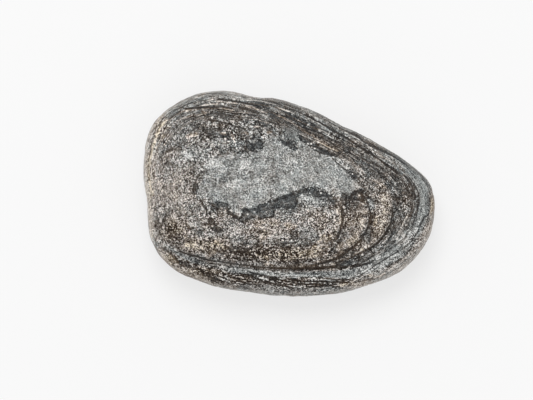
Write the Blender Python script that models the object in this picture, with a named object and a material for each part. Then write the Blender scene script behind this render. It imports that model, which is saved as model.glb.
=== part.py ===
"""A worn fossil bivalve: two valves petrified into one stone, lying on the flatter valve.

Run with: blender --background --python part.py
X runs along the shell with the beak at -X, Y across it, and Z up. The origin is the middle of the
plan outline, on the surface that the fossil rests on. Lengths below are millimetres times MM.
"""

import math

import bmesh
import bpy
import numpy as np

MM = 0.001

# Plan of the shell's widest line, as (x, y) in mm, anticlockwise from the narrow end.
OUTLINE = [
    (43.9, -4.0), (42.2, 3.4), (36.2, 9.2), (26.5, 15.2), (15.5, 20.9), (4.6, 26.0), (-5.1, 28.8),
    (-11.0, 29.3), (-20.8, 31.0), (-32.7, 28.0), (-41.2, 20.2), (-43.7, 9.2), (-42.6, -3.8),
    (-41.4, -13.6), (-36.8, -20.9), (-26.0, -26.7), (-10.9, -29.8), (6.0, -30.9), (22.0, -28.2),
    (35.0, -22.2), (42.0, -13.6),
]

# Plans of the six main growth lines of the upper valve, from the youngest inwards.
GROWTH_LINES = {
    "outer_rim": [
        (42.5, -4.5), (41.0, 1.5), (36.0, 7.5), (26.0, 13.5), (16.0, 18.5), (4.0, 24.0), (-14.5, 28.3),
        (-22.0, 29.5), (-30.2, 27.3), (-37.9, 22.3), (-42.3, 10.0), (-41.3, -5.5), (-40.5, -13.0),
        (-35.5, -19.5), (-19.0, -26.5), (-6.5, -28.0), (8.0, -28.4), (21.0, -26.0), (35.5, -18.5),
    ],
    "shelf_edge": [
        (39.7, -4.5), (38.5, 1.0), (34.0, 6.7), (25.5, 12.3), (15.5, 17.3), (4.0, 22.5), (-14.5, 27.0),
        (-22.5, 28.0), (-30.0, 25.8), (-36.2, 21.3), (-41.5, 10.0), (-40.7, -5.5), (-39.8, -12.5),
        (-35.0, -17.5), (-19.0, -23.3), (-6.5, -24.6), (7.0, -25.0), (20.0, -23.5), (33.5, -16.0),
    ],
    "groove": [
        (36.7, -4.5), (35.5, 0.5), (31.5, 6.0), (23.5, 11.5), (14.0, 16.3), (3.5, 21.0), (-14.5, 25.8),
        (-22.5, 26.5), (-29.8, 24.7), (-35.4, 20.3), (-40.8, 9.5), (-40.1, -5.5), (-39.2, -12.0),
        (-34.5, -16.3), (-19.0, -21.6), (-6.5, -22.6), (7.0, -22.8), (18.5, -21.7), (31.0, -14.5),
    ],
    "arc_3": [
        (31.0, -5.0), (30.5, -0.5), (26.5, 5.5), (20.0, 10.5), (11.5, 15.0), (2.5, 19.0), (-15.5, 24.4),
        (-23.0, 25.0), (-30.0, 23.0), (-34.6, 19.0), (-39.6, 9.0), (-39.2, -5.5), (-38.3, -11.5),
        (-33.5, -15.5), (-19.0, -20.9), (-6.5, -21.8), (7.0, -22.0), (17.0, -20.4), (28.0, -12.5),
    ],
    "arc_2": [
        (24.0, -5.5), (23.0, -1.0), (20.0, 4.5), (14.5, 10.0), (8.0, 14.0), (0.5, 18.0), (-16.0, 22.7),
        (-23.0, 23.3), (-29.5, 21.3), (-33.6, 17.6), (-38.3, 8.5), (-38.2, -5.5), (-37.0, -11.0),
        (-32.0, -14.8), (-18.5, -20.2), (-6.5, -21.1), (5.5, -21.2), (14.0, -19.5), (22.0, -12.5),
    ],
    "arc_1": [
        (16.2, -5.5), (16.0, -2.0), (14.0, 3.5), (10.0, 8.5), (4.0, 12.5), (-2.5, 16.0), (-16.5, 20.6),
        (-23.0, 21.5), (-28.7, 19.6), (-32.4, 16.3), (-36.8, 8.0), (-37.0, -5.5), (-35.5, -10.3),
        (-30.0, -14.2), (-17.5, -19.2), (-6.5, -20.2), (3.5, -20.2), (10.5, -18.3), (15.5, -12.0),
    ],
}

LINES = ["outline", *GROWTH_LINES, "crown"]  # the crown is a point, the origin of the plan
LEAST_LINE_GAP = 0.55  # between neighbouring growth lines, where they crowd at the beak

# Heights of the upper valve, in mm above the widest line.
RIM_HEIGHT = 11.5  # the lower valve's band, which the groove parts from the dome
RIM_BLUNTNESS = 6.0
DOME_HEIGHT = 11.0
DOME_FULLNESS = 2.0
DOME_FOOT = 0.9
BEAK_TILT = 0.05  # mm of extra height for each mm towards the beak
WORN_TOP = 21.0  # the crown is worn down to about this height
WORN_SOFTNESS = 1.9

# The widest line itself rises and falls round the shell.
WIDEST_LINE_HEIGHT = 12.5
WIDEST_LINE_RISE = 1.5  # higher at +Y, lower at -Y where the rim shows
WIDEST_LINE_SWING = 0.8

# Broad swells and dents of the upper valve: (x, y, height, width) in mm.
SWELLS = [
    (-28.0, 12.0, 0.9, 9.0), (-12.0, -13.0, -0.6, 8.0), (8.0, 15.0, -0.5, 7.0), (21.0, -8.0, 0.6, 9.0),
    (-30.0, -8.0, 0.7, 7.0),
]

# The lower valve is worn flat where it rests.
REST_FACE_SHARE = 0.44  # of the outline's radius

# Each growth line is a ledge: a low lip, then a drop to the next layer.
LEDGE_HALF_WIDTH = 0.4
LEDGE_HEIGHTS = {
    "outer_rim": 0.35, "shelf_edge": 0.35, "groove": 0.6, "arc_3": 0.5, "arc_2": 0.6, "arc_1": 0.6,
}
LIP_SHARE = 0.4  # of the ledge's height, raised before the line; the rest is the drop after it
# The ledges stand out most towards the narrow end's lower side, and least at the beak.
LEDGE_SIDE = math.radians(-25)
LEDGE_LEAST = 0.4

# A fainter ledge lies between each line and the next one out: (share of the way out, mm high).
FAINT_LEDGES = {
    "outer_rim": (0.45, 0.3), "shelf_edge": (0.5, 0.25), "groove": (0.55, 0.15), "arc_3": (0.5, 0.3),
    "arc_2": (0.55, 0.2), "arc_1": (0.45, 0.2),
}

# Ledges of the lower valve, in degrees from the rest face up to the widest line.
LOWER_LEDGE_LEANS = (76, 63, 50, 37, 24)
LOWER_LEDGE_STEP = 2.5
LOWER_LEDGE_HEIGHT = 0.6

ROUND_STEPS = 96  # vertices round the outer rings; the inner ones have a half, then a quarter
SLOPE_STEP = 0.02  # used to find the surface's slope


def closed_radius(points, angles):
    """Radius at each angle of the smooth closed curve through the points, seen from the origin."""
    x, y = np.array(points, float).T
    at = np.arctan2(y, x)
    order = np.argsort(at)
    knots = at[order]
    radii = np.hypot(x, y)[order]
    turn = 2 * math.pi
    knots = np.concatenate([knots[-2:] - turn, knots, knots[:3] + turn])
    radii = np.concatenate([radii[-2:], radii, radii[:3]])
    slopes = (radii[2:] - radii[:-2]) / (knots[2:] - knots[:-2])
    slopes = np.concatenate([slopes[:1], slopes, slopes[-1:]])
    wrapped = (angles - knots[2]) % turn + knots[2]
    i = np.searchsorted(knots, wrapped, side="right") - 1
    span = knots[i + 1] - knots[i]
    s = (wrapped - knots[i]) / span
    return (
        radii[i] * (1 + 2 * s) * (1 - s) ** 2
        + radii[i + 1] * s**2 * (3 - 2 * s)
        + span * slopes[i] * s * (1 - s) ** 2
        - span * slopes[i + 1] * s**2 * (1 - s)
    )


def line_radii(angles):
    """Radii of the widest line and of each growth line at the angles, kept one inside the next."""
    radii = [closed_radius(OUTLINE, angles)]
    for points in GROWTH_LINES.values():
        radii.append(np.minimum(closed_radius(points, angles), radii[-1] - LEAST_LINE_GAP))
    return dict(zip(LINES, [*radii, np.zeros_like(angles)]))


def soft_limit(height, limit, softness):
    """The height, eased down to the limit where it would pass it."""
    return height - softness * np.logaddexp(0, (height - limit) / softness)


def widest_line_change(angles):
    """How far the widest line lies above its mean height."""
    return WIDEST_LINE_RISE * np.sin(angles) + WIDEST_LINE_SWING * np.cos(2 * angles)


def upper_surface(angles, radius):
    """Points of the upper valve's smooth surface, without its ledges."""
    lines = line_radii(angles)
    share = np.clip(radius / lines["outline"], 0, 1)
    rim = RIM_HEIGHT * np.sqrt(1 - share**RIM_BLUNTNESS)
    within = np.clip(radius / lines["groove"], 0, 1)
    dome = DOME_HEIGHT * (1 - within**DOME_FULLNESS) ** DOME_FOOT
    x = radius * np.cos(angles)
    y = radius * np.sin(angles)
    height = soft_limit(rim + dome - BEAK_TILT * x * (1 - share**2), WORN_TOP, WORN_SOFTNESS)
    for swell_x, swell_y, swell, width in SWELLS:
        away = (x - swell_x) ** 2 + (y - swell_y) ** 2
        height += swell * np.exp(-away / width**2) * (1 - share**4)
    level = WIDEST_LINE_HEIGHT + widest_line_change(angles) * share**2
    return np.stack([x, y, level + height], axis=1)


def lower_surface(angles, lean):
    """Points of the lower valve, from the rest face (lean 0) to the widest line (90 degrees)."""
    outline = closed_radius(OUTLINE, angles)
    share = REST_FACE_SHARE + (1 - REST_FACE_SHARE) * np.sin(lean)
    height = (WIDEST_LINE_HEIGHT + widest_line_change(angles)) * (1 - np.cos(lean))
    x = outline * share * np.cos(angles)
    y = outline * share * np.sin(angles)
    return np.stack([x, y, height], axis=1)


def outward(surface, angles, along):
    """Unit normals of the surface, a function of the angles and of a way along it from the middle."""
    round_it = surface(angles + SLOPE_STEP, along) - surface(angles - SLOPE_STEP, along)
    across = surface(angles, along + SLOPE_STEP) - surface(angles, along - SLOPE_STEP)
    normals = np.cross(across, round_it)
    return normals / np.linalg.norm(normals, axis=1, keepdims=True)


def ledge_strength(angles):
    return LEDGE_LEAST + (1 - LEDGE_LEAST) * (0.5 + 0.5 * np.cos(angles - LEDGE_SIDE))


def upper_ring(angles, place, lift):
    """One ring of the upper valve: place gives its radius from the lines, lift its height off them."""
    radius = place(line_radii(angles))
    off = lift * ledge_strength(angles)
    return upper_surface(angles, radius) + outward(upper_surface, angles, radius) * off[:, None]


def lower_ring(angles, lean, lift):
    lean = np.full_like(angles, math.radians(lean))
    return lower_surface(angles, lean) - outward(lower_surface, angles, lean) * lift


def between(inner, outer, share, side=0):
    """A place this share of the way out between two lines, or just to one side of it."""

    def place(lines):
        gap = lines[outer] - lines[inner]
        return lines[inner] + gap * share + side * np.minimum(LEDGE_HALF_WIDTH, 0.2 * gap)

    return place


def upper_rings():
    """(place, lift, fraction of the full vertex count) of each ring, from the widest line inwards."""
    found = [(between("outer_rim", "outline", share), 0, 1) for share in (1.0, 0.94, 0.8)]
    for outer, name, inner in zip(LINES, LINES[1:], LINES[2:]):
        share, faint = FAINT_LEDGES[name]
        height = LEDGE_HEIGHTS[name]
        found.append((between(name, outer, share, 1), -faint * (1 - LIP_SHARE), 1))
        found.append((between(name, outer, share, -1), faint * LIP_SHARE, 1))
        found.append((between(name, outer, 0, 1), -height * (1 - LIP_SHARE), 1))
        found.append((between(inner, name, 1, -1), height * LIP_SHARE, 1))
    for share, part in ((0.88, 1), (0.77, 1), (0.64, 2), (0.5, 2), (0.36, 2), (0.23, 4), (0.11, 4)):
        found.append((between("crown", LINES[-2], share), 0, part))
    return found


def lower_rings():
    """(lean in degrees, lift) of each ring, from just under the widest line to the rest face."""
    found = [(84, 0)]
    for lean in LOWER_LEDGE_LEANS:
        found.append((lean + LOWER_LEDGE_STEP, -LOWER_LEDGE_HEIGHT * (1 - LIP_SHARE)))
        found.append((lean - LOWER_LEDGE_STEP, LOWER_LEDGE_HEIGHT * LIP_SHARE))
    return [*found, (13, 0), (0, 0)]


def ring_angles(part):
    count = ROUND_STEPS // part
    return np.arange(count) * (2 * math.pi / count)


def join_rings(mesh, outer, inner):
    """Faces between two rings, where the inner one has as many vertices or half as many."""
    step = len(outer) // len(inner)
    for i in range(len(inner)):
        j = (i + 1) % len(inner)
        a = i * step
        c = (a + step) % len(outer)
        if step == 1:
            mesh.faces.new((outer[a], outer[c], inner[j], inner[i]))
            continue
        b = a + 1
        mesh.faces.new((outer[a], outer[b], inner[i]))
        mesh.faces.new((outer[b], inner[j], inner[i]))
        mesh.faces.new((outer[b], outer[c], inner[j]))


def cap_ring(mesh, loop, height):
    """A fan from the ring to a vertex on the axis."""
    middle = mesh.verts.new((0, 0, height * MM))
    for i in range(len(loop)):
        mesh.faces.new((loop[i], loop[(i + 1) % len(loop)], middle))


def build_valves():
    """The petrified shell as one closed mesh."""
    mesh = bmesh.new()

    def add_ring(points):
        return [mesh.verts.new(point * MM) for point in points]

    upper = [add_ring(upper_ring(ring_angles(part), place, lift)) for place, lift, part in upper_rings()]
    for outer, inner in zip(upper, upper[1:]):
        join_rings(mesh, outer, inner)
    crown = upper_surface(np.zeros(1), np.zeros(1))[0]
    cap_ring(mesh, upper[-1], crown[2])

    lower = [upper[0]]
    lower += [add_ring(lower_ring(ring_angles(1), lean, lift)) for lean, lift in lower_rings()]
    for outer, inner in zip(lower, lower[1:]):
        join_rings(mesh, outer, inner)
    cap_ring(mesh, lower[-1], 0)

    bmesh.ops.recalc_face_normals(mesh, faces=mesh.faces)
    data = bpy.data.meshes.new("fossil_shell")
    mesh.to_mesh(data)
    mesh.free()
    return data


def stone_material():
    material = bpy.data.materials.new("worn_shell_stone")
    material.use_nodes = True
    shader = material.node_tree.nodes["Principled BSDF"]
    shader.inputs["Base Color"].default_value = (0.19, 0.18, 0.165, 1)
    shader.inputs["Roughness"].default_value = 0.7
    shader.inputs["Metallic"].default_value = 0
    return material


def main():
    for obj in list(bpy.data.objects):
        bpy.data.objects.remove(obj, do_unlink=True)
    data = build_valves()
    data.shade_smooth()
    data.materials.append(stone_material())
    shell = bpy.data.objects.new("fossil_shell", data)
    bpy.context.scene.collection.objects.link(shell)


main()
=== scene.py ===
"""The worn fossil bivalve's looks: a fine stone surface in place of the CAD solid, floor, light, camera.

Lengths are in millimetres, times MM where Blender takes them. X runs along the shell with the beak at
-X, Y across it and Z up, as in the frame.
"""

import math

import bmesh
import bpy
import numpy as np
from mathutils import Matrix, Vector


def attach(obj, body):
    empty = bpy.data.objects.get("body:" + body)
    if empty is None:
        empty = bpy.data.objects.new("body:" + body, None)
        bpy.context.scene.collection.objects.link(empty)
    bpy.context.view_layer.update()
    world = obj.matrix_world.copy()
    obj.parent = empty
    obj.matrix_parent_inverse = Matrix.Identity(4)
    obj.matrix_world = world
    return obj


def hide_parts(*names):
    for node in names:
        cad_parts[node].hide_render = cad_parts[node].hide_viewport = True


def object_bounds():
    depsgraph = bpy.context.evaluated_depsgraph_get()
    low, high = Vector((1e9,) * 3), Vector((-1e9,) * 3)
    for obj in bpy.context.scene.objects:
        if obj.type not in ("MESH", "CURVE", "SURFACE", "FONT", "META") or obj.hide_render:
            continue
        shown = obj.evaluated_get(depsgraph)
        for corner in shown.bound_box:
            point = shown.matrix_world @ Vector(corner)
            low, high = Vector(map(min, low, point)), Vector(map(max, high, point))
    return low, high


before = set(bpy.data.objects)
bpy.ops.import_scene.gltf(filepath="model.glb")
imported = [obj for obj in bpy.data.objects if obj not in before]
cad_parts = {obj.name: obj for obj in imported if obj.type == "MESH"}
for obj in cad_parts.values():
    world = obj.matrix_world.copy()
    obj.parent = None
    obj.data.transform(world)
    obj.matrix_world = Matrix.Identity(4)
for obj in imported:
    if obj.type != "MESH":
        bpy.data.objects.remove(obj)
cad_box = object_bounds()

MM = 0.001

# ---------------------------------------------------------------- the shell's form, as in the CAD

OUTLINE = [
    (43.9, -4.0), (42.2, 3.4), (36.2, 9.2), (26.5, 15.2), (15.5, 20.9), (4.6, 26.0), (-5.1, 28.8),
    (-11.0, 29.3), (-20.8, 31.0), (-32.7, 28.0), (-41.2, 20.2), (-43.7, 9.2), (-42.6, -3.8),
    (-41.4, -13.6), (-36.8, -20.9), (-26.0, -26.7), (-10.9, -29.8), (6.0, -30.9), (22.0, -28.2),
    (35.0, -22.2), (42.0, -13.6),
]
GROWTH_LINES = {
    "outer_rim": [
        (42.5, -4.5), (41.0, 1.5), (36.0, 7.5), (26.0, 13.5), (16.0, 18.5), (4.0, 24.0), (-14.5, 28.3),
        (-22.0, 29.5), (-30.2, 27.3), (-37.9, 22.3), (-42.3, 10.0), (-41.3, -5.5), (-40.5, -13.0),
        (-35.5, -19.5), (-19.0, -26.5), (-6.5, -28.0), (8.0, -28.4), (21.0, -26.0), (35.5, -18.5),
    ],
    "shelf_edge": [
        (39.7, -4.5), (38.5, 1.0), (34.0, 6.7), (25.5, 12.3), (15.5, 17.3), (4.0, 22.5), (-14.5, 27.0),
        (-22.5, 28.0), (-30.0, 25.8), (-36.2, 21.3), (-41.5, 10.0), (-40.7, -5.5), (-39.8, -12.5),
        (-35.0, -17.5), (-19.0, -23.3), (-6.5, -24.6), (7.0, -25.0), (20.0, -23.5), (33.5, -16.0),
    ],
    "groove": [
        (36.7, -4.5), (35.5, 0.5), (31.5, 6.0), (23.5, 11.5), (14.0, 16.3), (3.5, 21.0), (-14.5, 25.8),
        (-22.5, 26.5), (-29.8, 24.7), (-35.4, 20.3), (-40.8, 9.5), (-40.1, -5.5), (-39.2, -12.0),
        (-34.5, -16.3), (-19.0, -21.6), (-6.5, -22.6), (7.0, -22.8), (18.5, -21.7), (31.0, -14.5),
    ],
    "arc_3": [
        (31.0, -5.0), (30.5, -0.5), (26.5, 5.5), (20.0, 10.5), (11.5, 15.0), (2.5, 19.0), (-15.5, 24.4),
        (-23.0, 25.0), (-30.0, 23.0), (-34.6, 19.0), (-39.6, 9.0), (-39.2, -5.5), (-38.3, -11.5),
        (-33.5, -15.5), (-19.0, -20.9), (-6.5, -21.8), (7.0, -22.0), (17.0, -20.4), (28.0, -12.5),
    ],
    "arc_2": [
        (24.0, -5.5), (23.0, -1.0), (20.0, 4.5), (14.5, 10.0), (8.0, 14.0), (0.5, 18.0), (-16.0, 22.7),
        (-23.0, 23.3), (-29.5, 21.3), (-33.6, 17.6), (-38.3, 8.5), (-38.2, -5.5), (-37.0, -11.0),
        (-32.0, -14.8), (-18.5, -20.2), (-6.5, -21.1), (5.5, -21.2), (14.0, -19.5), (22.0, -12.5),
    ],
    "arc_1": [
        (16.2, -5.5), (16.0, -2.0), (14.0, 3.5), (10.0, 8.5), (4.0, 12.5), (-2.5, 16.0), (-16.5, 20.6),
        (-23.0, 21.5), (-28.7, 19.6), (-32.4, 16.3), (-36.8, 8.0), (-37.0, -5.5), (-35.5, -10.3),
        (-30.0, -14.2), (-17.5, -19.2), (-6.5, -20.2), (3.5, -20.2), (10.5, -18.3), (15.5, -12.0),
    ],
}
# Growth along the shell's long side, in mm: at the outline, at each of these lines, and at the crown.
LINE_GROWTH = [43.9, 42.5, 39.7, 36.7, 31.0, 24.0, 16.2, 0.0]
EDGE = LINE_GROWTH[0]
GROOVE_LINE = 3
LEAST_LINE_GAP = 0.55

RIM_HEIGHT = 11.5
RIM_BLUNTNESS = 6.0
DOME_HEIGHT = 11.0
DOME_FULLNESS = 2.0
DOME_FOOT = 0.9
BEAK_TILT = 0.05
WORN_TOP = 21.0
WORN_SOFTNESS = 1.9
WIDEST_LINE_HEIGHT = 12.5
WIDEST_LINE_RISE = 1.5
WIDEST_LINE_SWING = 0.8
SWELLS = [
    (-28.0, 12.0, 0.9, 9.0), (-12.0, -13.0, -0.6, 8.0), (8.0, 15.0, -0.5, 7.0), (21.0, -8.0, 0.6, 9.0),
    (-30.0, -8.0, 0.7, 7.0),
]
REST_FACE_SHARE = 0.44
LIP_SHARE = 0.4
LEDGE_SIDE = math.radians(-25)
LEDGE_LEAST = 0.4
LOWER_LEDGE_LEANS = (76, 63, 50, 37, 24)
LOWER_LEDGE_HEIGHT = 0.45
LOWER_LEDGE_REACH = 1.6
SLOPE_STEP = 0.02

# ---------------------------------------------------------------- the fine surface

ROUND_STEPS = 720
UPPER_STEP = 0.3  # mm of growth between rings
RING_PARTS = ((18, 1), (8, 2), (4, 4), (0, 8))  # beyond each growth, one point in so many is used
LAST_GROWTH = 1.0  # the rings end before this growth, and one point closes the crown
LOWER_STEP = 0.9
LOWER_ARC = 26.0  # mm of growth from the widest line to the rest face
REST_RINGS = 9
REST_GROWTH = 40.0  # mm of growth for one whole radius inwards over the rest face
REST_HOLLOW = 0.5
REST_LIFT = 0.03
DOWN = (0.0, 0.0, -1.0)
TINY = 1e-6
INSET = 0.16  # the surface starts this far inside the CAD's, so that its bumps end inside it

# Layers of noise: mm of height or shift (or a share), size in mm, seed.
WANDER = ((0.35, 9.0, 3), (0.12, 2.5, 4))
RAGGED_EDGE = ((1, 1.1, 21), (0.6, 0.5, 22))
LUMPS = ((0.22, 8.0, 11), (0.12, 3.6, 12), (0.06, 1.7, 13))
GRIT = ((0.05, 0.8, 14),)
PIT_NOISE = ((1, 1.25, 15),)
PIT_EDGE = (0.3, 0.6)
PITTED_NOISE = ((1, 7, 16),)
PITTED_EDGE = (0.0, 0.4)
PIT_DEPTH = 0.16
HOLLOW_SHADE_GAIN = 6  # how much painted shade a place gets for each mm that the grit lowers it

LEDGES = [  # growth in mm, height in mm
    (42.5, 0.3), (39.7, 0.3), (36.7, 0.5), (31.0, 0.45), (24.0, 0.5), (16.2, 0.5),
    (43.1, 0.2), (41.1, 0.2), (38.3, 0.15), (33.9, 0.3), (27.8, 0.2), (19.7, 0.2),
]
LEDGE_REACH = 1.3
LEDGE_FADES = (0.6, 2)  # mm of growth on either side of the widest line
RATE_GAIN = 1.3  # ledges get lower where the lines crowd, down to the least rate
LEAST_RATE = 0.25
GROOVE_GROWTH = 36.9
GROOVE_WIDTH = 0.55
GROOVE_DEPTH = 0.7
GROOVE_LEAST = 0.12
LAMINA_PERIOD = 0.95  # mm of growth
LAMINA_HEIGHT = 0.09
LAMINA_WANDER = 4.5
LAMINA_GROWTH = (18, 34)
LAMINA_LEAST = 0.2
LAMINA_MEAN = 1.2  # each lamina is up to 1 stronger or weaker than this
LAMINA_PATCH = (2, 3, 3)  # mm of growth, X and Y for one unit of the patchiness
LAMINA_PATCHINESS = (0.45, 0.55, 2.4, 5)  # mean, swing, and the noise's size and seed
PATCH_HEIGHT = 0.12
PATCH_SOFT = 0.35
PATCH_WEAR = 0.7
FILM_WEAR = 0.6
MARK_DEPTH = 0.12

# Broad tones: by noise all over, painted light at the rim, and more by noise over the underside.
TONE_NOISE = ((0.035, 5, 33),)
RIM_PAINTED_LIGHT = 0.04
RIM_PAINTED_LIGHT_GROWTH = (37, 41, 44, 47)
UNDER_TONE = 0.02
UNDER_TONE_NOISE = ((0.11, 11, 32),)
UNDER_WARMTH = 0.45
UNDER_WARMTH_NOISE = ((0.3, 14, 31),)
UNDER_CALM = 0.4
UNDER_CALM_NOISE = ((0.9, 9, 34),)
LEAST_STREAK = 0.2

# Windows on the side of the shell in degrees: start, full, fall, end, with -90 towards -Y.
GROOVE_SIDE = (-160, -135, -42, -15)
SHELF_SIDE = (-168, -150, -20, 5)
SHELF_WIDENING_SIDE = (-75, -30)  # start and full alone
ARC_SIDE = (-110, -80, -5, 15)
BANDED_SIDE = (-142, -124, -52, -36)
SLANT_SIDE = (-128, -78, -70, -10)
LOW_RIM_SIDE = (-150, -130, -60, -35)
ROUGH_RIM_SIDE = (-3, 5, 96, 118)
CROWDED_SIDE = (15, 40, 150, 175)
LAMINATED_SIDE = (-35, 5, 140, 170)
NARROW_END_SIDE = (-32, -12, 15, 40)

# Where things show along the growth, in mm of it.
SHELF_GROWTH = (37.4, 39.7)
SHELF_FADES = (0.3, 0.4, 0.6, 0.5)  # before and after its start, before and after its end
SHELF_WIDENING = 2.4
SHELF_PATCHINESS = (0.8, 0.35, 3.5, 24)  # mean, swing, and the noise's size and seed
SHELF_FILM = 0.85
ARC_GROWTHS = (16.2, 24.0, 31.0)
# The arcs' cream is partly painted light on the ledges' lips, and their shade is painted shade at the
# feet.
ARC_CREAM_AND_LIGHT = (-1.7, 1.3)  # mm from the line, half width
ARC_SHADE = (1.1, 1.1)
ARC_SHADE_SHARE = 0.55
RIM_GROWTH = (42.8, 43.7, 44.9, 47.9)
RIM_SHARE = 0.8
LOW_RIM_LOSS = 0.15
ROUGH_RIM_LOSS = 0.6
LAST_LAMINA = (43.4, 0.28)  # growth, half width
LAST_LAMINA_SHADE = 1.7
MARKED_GROWTH = (43.8, 43.1)  # the marks end before the steep rim
BANDED_GROWTH = (39.2, 40.2)
BANDED_END = (43.9, 43.0)
SLANT = 2.6  # mm of growth by which the laminae below the shelf run out
STREAK_START = (26, 10, 11)  # growth, mm less where the lines crowd, mm to full strength
LAMINATED_START = (35, 17, 7, 8)  # the same, with mm less at the narrow end third

# Marks: how ragged each kind's edge is, in mm for areas, and how soft, in mm.
CRUST_RAGGED = 0.24
INK_RAGGED = 0.7
PALE_AND_HIGHLIGHT_RAGGED = 1.0
TAN_RAGGED = 1.2
SHADE_RAGGED = 2.0
SHADE_SOFT = 0.9
FILM_RAGGED = 0.5
FILM_SOFT = 0.6
PATCH_RAGGED = 0.35
MARK_SOFT = 0.15
AREA_GROWTH = 0.14  # keeps an area's size once its edge is ragged
LINE_RAGGED = (0.13, 0.6)  # a line's raggedness for each mm of width, and at most
OUTSIDE = -9.0  # depth of a point that is in no mark

# ---------------------------------------------------------------- where the stone changes colour
# Places are (across, down) in the photograph's 533 x 400 points.

PHOTO_SIZE = (533, 400)
PHOTO_SCALE = 0.3  # mm for one point
PHOTO_ORIGIN = (289.0, 193.7)  # the point over the frame's origin

# The worn patch, whose smooth grey stone is even in tone.
PATCH = [
    (209, 160), (207, 166), (208, 171), (203, 175), (202, 181), (197, 194), (197, 198), (201, 200),
    (207, 197), (216, 200), (224, 203), (234, 210), (241, 217), (243, 211), (254, 209), (262, 204),
    (272, 199), (280, 197), (288, 193), (300, 190), (306, 188), (315, 187), (323, 190), (330, 193),
    (336, 198), (338, 204), (342, 193), (347, 194), (361, 188), (352, 179), (347, 171), (342, 168),
    (332, 159), (318, 152), (311, 147), (301, 140), (297, 150), (293, 151), (284, 145), (276, 139),
    (268, 139), (264, 141), (264, 148), (250, 152), (228, 155), (216, 157),
]
# Areas that the blue-grey film covers thinly: outline, strength.
FILM_AREAS = [
    ([(284, 128), (292, 127), (300, 133), (301, 140), (297, 143), (288, 138), (283, 133)], 0.6),
    ([(368, 199), (372, 199), (374, 206), (373, 212), (369, 212)], 0.8),
    ([(329, 212), (337, 210), (341, 216), (341, 224), (338, 232), (331, 232), (328, 222)], 0.2),
    ([
        (402, 163), (410, 165), (418, 172), (425, 182), (430, 191), (430, 205), (428, 216), (421, 226),
        (418, 216), (419, 205), (420, 195), (416, 185), (410, 177), (403, 169),
    ], 0.75),
    ([(300, 228), (306, 226), (316, 230), (318, 238), (308, 241), (300, 238)], 0.4),
    ([(298, 197), (304, 194), (314, 196), (326, 199), (332, 204), (322, 207), (308, 206)], 0.55),
    ([(185, 150), (200, 147), (212, 150), (208, 157), (192, 160), (184, 157)], 0.45),
    ([(186, 103), (194, 102), (195, 107), (187, 108)], 0.6),
]
# Near-black crust, and painted shadow in the groove: outline, strength.
DARK_AREAS = [
    ([
        (236, 218), (240, 218), (244, 213), (242, 209), (245, 208), (249, 210), (257, 208), (259, 205),
        (264, 205), (267, 202), (277, 199), (281, 197), (285, 198), (287, 193), (290, 195), (296, 191),
        (298, 196), (297, 203), (293, 208), (285, 208), (281, 207), (275, 209), (273, 217), (265, 218),
        (260, 220), (256, 217), (248, 220), (245, 224), (239, 221),
    ], 1.0),
    ([
        (298, 191), (301, 190), (304, 188), (307, 189), (309, 190), (311, 187), (314, 187), (315, 190),
        (319, 192), (319, 197), (316, 197), (313, 194), (309, 192), (305, 193), (302, 192), (299, 195),
    ], 0.85),
    ([(318, 193), (322, 191), (326, 193), (329, 197), (327, 198), (323, 196), (318, 197)], 1.0),
    ([(327, 196), (332, 197), (336, 200), (338, 206), (334, 206), (331, 203), (327, 199)], 0.7),
    ([
        (347, 198), (350, 195), (354, 191), (357, 190), (361, 190), (362, 194), (363, 198), (364, 203),
        (358, 200), (351, 199),
    ], 1.0),
    ([(346, 203), (352, 202), (358, 203), (364, 206), (360, 209), (352, 208), (347, 209)], 0.5),
    ([
        (341, 193), (344, 194), (345, 198), (347, 201), (346, 205), (342, 206), (341, 210), (339, 209),
        (339, 206), (341, 202), (340, 197),
    ], 0.65),
    ([
        (246, 141), (249, 140), (250, 144), (254, 145), (257, 143), (259, 140), (262, 141), (263, 145),
        (262, 149), (258, 149), (254, 150), (253, 152), (250, 151), (247, 148),
    ], 0.95),
    ([
        (280, 139), (283, 141), (287, 143), (291, 143), (295, 146), (297, 149), (295, 151), (291, 149),
        (288, 147), (285, 145), (281, 142),
    ], 0.9),
    ([
        (299, 135), (303, 138), (307, 139), (310, 141), (313, 145), (318, 147), (323, 150), (327, 152),
        (332, 154), (338, 154), (336, 157), (331, 156), (326, 155), (321, 154), (316, 151), (311, 148),
        (307, 144), (303, 142), (300, 140),
    ], 0.9),
    ([(343, 148), (349, 147), (350, 153), (345, 154)], 0.9),
    ([(350, 172), (355, 173), (356, 178), (352, 179)], 0.85),
    ([
        (195, 180), (197, 184), (199, 188), (197, 190), (195, 195), (193, 194), (193, 189), (194, 184),
    ], 0.9),
    ([
        (208, 218), (211, 217), (214, 221), (217, 226), (222, 228), (224, 231), (219, 233), (213, 230),
        (210, 225),
    ], 0.95),
    ([(215, 201), (222, 202), (228, 204), (228, 207), (221, 207)], 0.7),
    ([(167, 231), (173, 230), (178, 234), (178, 239), (173, 240), (169, 237)], 0.75),
    ([(208, 274), (214, 275), (218, 280), (213, 284), (208, 280)], 0.9),
    ([(292, 228), (297, 228), (297, 236), (293, 241), (290, 236)], 0.7),
    ([(282, 242), (287, 241), (291, 245), (289, 250), (283, 249)], 0.8),
    ([(301, 240), (305, 243), (312, 243), (316, 241), (314, 245), (306, 246), (301, 244)], 0.6),
    ([(204, 127), (216, 129), (229, 131), (229, 137), (216, 138), (206, 134)], 0.55),
    ([(255, 102), (268, 104), (269, 109), (257, 107)], 0.7),
    ([(268, 112), (280, 115), (281, 119), (270, 118)], 0.65),
    ([(284, 112), (295, 115), (297, 121), (287, 118)], 0.7),
    ([(302, 119), (316, 125), (319, 133), (308, 130), (300, 124)], 0.7),
    # Painted shadow in the groove.
    ([(335, 262), (343, 261), (351, 263), (348, 268), (337, 269)], 0.95),
    ([(336, 252), (344, 250), (352, 247), (354, 253), (344, 258), (337, 259)], 0.6),
    ([(228, 247), (240, 247), (250, 249), (248, 253), (236, 253), (229, 251)], 0.75),
]
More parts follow.
